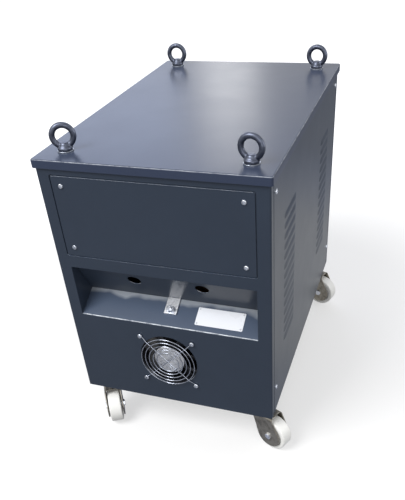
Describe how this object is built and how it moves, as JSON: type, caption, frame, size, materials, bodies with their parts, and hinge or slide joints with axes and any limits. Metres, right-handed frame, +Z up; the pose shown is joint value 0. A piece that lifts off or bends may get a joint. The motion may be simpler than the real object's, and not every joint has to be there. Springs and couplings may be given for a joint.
{
  "type": "mobile step-down transformer cabinet",
  "caption": "Step-down transformer in a slate-blue sheet-metal cabinet with lifting eyebolts, access panel, cable recess, guarded cooling fan and swivel casters.",
  "frame": {"origin": "on the floor, under the middle of the cabinet body", "axes": "+Z up, the front with the access panel and fan faces -Y, +X to the right seen from the front"},
  "size_m": [0.4587, 0.6367, 0.646],
  "materials": {
    "body_paint": "semi-gloss slate-blue paint",
    "lid_paint": "semi-gloss slate-blue paint",
    "eyebolt_steel": "dark blackened steel",
    "zinc": "bright zinc plate",
    "fork_steel": "dull zinc plate",
    "earth_metal": "tinned bar",
    "label_white": "blank white metal plate",
    "fan_metal": "die-cast frame",
    "fan_black": "black moulded impeller",
    "guard_chrome": "bright plated wire",
    "nylon": "white nylon",
    "lamination": "varnished laminations",
    "winding": "varnished winding"
  },
  "bodies": {
    "cabinet": {"base_tray": "body_paint", "front_panel": "body_paint", "rear_panel": "body_paint", "left_cover": "body_paint", "right_cover": "body_paint", "lid": "lid_paint", "access_panel": "body_paint", "recess_tray": "body_paint", "gland_plate": "body_paint", "earth_bar": "earth_metal", "earth_nut": "earth_metal", "rating_plate": "label_white", "fan_frame": "fan_metal", "fan_guard": "guard_chrome", "core": "lamination", "windings": "winding", "core_clamps": "fork_steel", "eyebolt_front_left": "eyebolt_steel", "washer_front_left": "zinc", "plate_front_left": "zinc", "eyebolt_front_right": "eyebolt_steel", "washer_front_right": "zinc", "plate_front_right": "zinc", "eyebolt_rear_left": "eyebolt_steel", "washer_rear_left": "zinc", "plate_rear_left": "zinc", "eyebolt_rear_right": "eyebolt_steel", "washer_rear_right": "zinc", "plate_rear_right": "zinc"},
    "fan_rotor": {"fan_rotor": "fan_black"},
    "fork_front_left": {"fork_front_left": "fork_steel"},
    "wheel_front_left": {"wheel_front_left": "nylon"},
    "fork_front_right": {"fork_front_right": "fork_steel"},
    "wheel_front_right": {"wheel_front_right": "nylon"},
    "fork_rear_left": {"fork_rear_left": "fork_steel"},
    "wheel_rear_left": {"wheel_rear_left": "nylon"},
    "fork_rear_right": {"fork_rear_right": "fork_steel"},
    "wheel_rear_right": {"wheel_rear_right": "nylon"}
  },
  "joints": [
    {"name": "fan_spin", "type": "hinge", "parent": "cabinet", "child": "fan_rotor", "pos_m": [-0.005, -0.283, 0.204], "axis": [0, 1, 0], "continuous": true},
    {"name": "swivel_front_left", "type": "hinge", "parent": "cabinet", "child": "fork_front_left", "pos_m": [-0.17, -0.262, 0.084], "axis": [0, 0, 1], "continuous": true},
    {"name": "roll_front_left", "type": "hinge", "parent": "fork_front_left", "child": "wheel_front_left", "pos_m": [-0.156, -0.28625, 0.036], "axis": [0.866, 0.5, 0], "continuous": true},
    {"name": "swivel_front_right", "type": "hinge", "parent": "cabinet", "child": "fork_front_right", "pos_m": [0.17, -0.262, 0.084], "axis": [0, 0, 1], "continuous": true},
    {"name": "roll_front_right", "type": "hinge", "parent": "fork_front_right", "child": "wheel_front_right", "pos_m": [0.19558, -0.27339, 0.036], "axis": [0.4067, 0.9135, 0], "continuous": true},
    {"name": "swivel_rear_left", "type": "hinge", "parent": "cabinet", "child": "fork_rear_left", "pos_m": [-0.17, 0.262, 0.084], "axis": [0, 0, 1], "continuous": true},
    {"name": "roll_rear_left", "type": "hinge", "parent": "fork_rear_left", "child": "wheel_rear_left", "pos_m": [-0.19048, 0.2811, 0.036], "axis": [-0.682, -0.7314, 0], "continuous": true},
    {"name": "swivel_rear_right", "type": "hinge", "parent": "cabinet", "child": "fork_rear_right", "pos_m": [0.17, 0.262, 0.084], "axis": [0, 0, 1], "continuous": true},
    {"name": "roll_rear_right", "type": "hinge", "parent": "fork_rear_right", "child": "wheel_rear_right", "pos_m": [0.19678, 0.25381, 0.036], "axis": [0.2924, 0.9563, 0], "continuous": true}
  ]
}
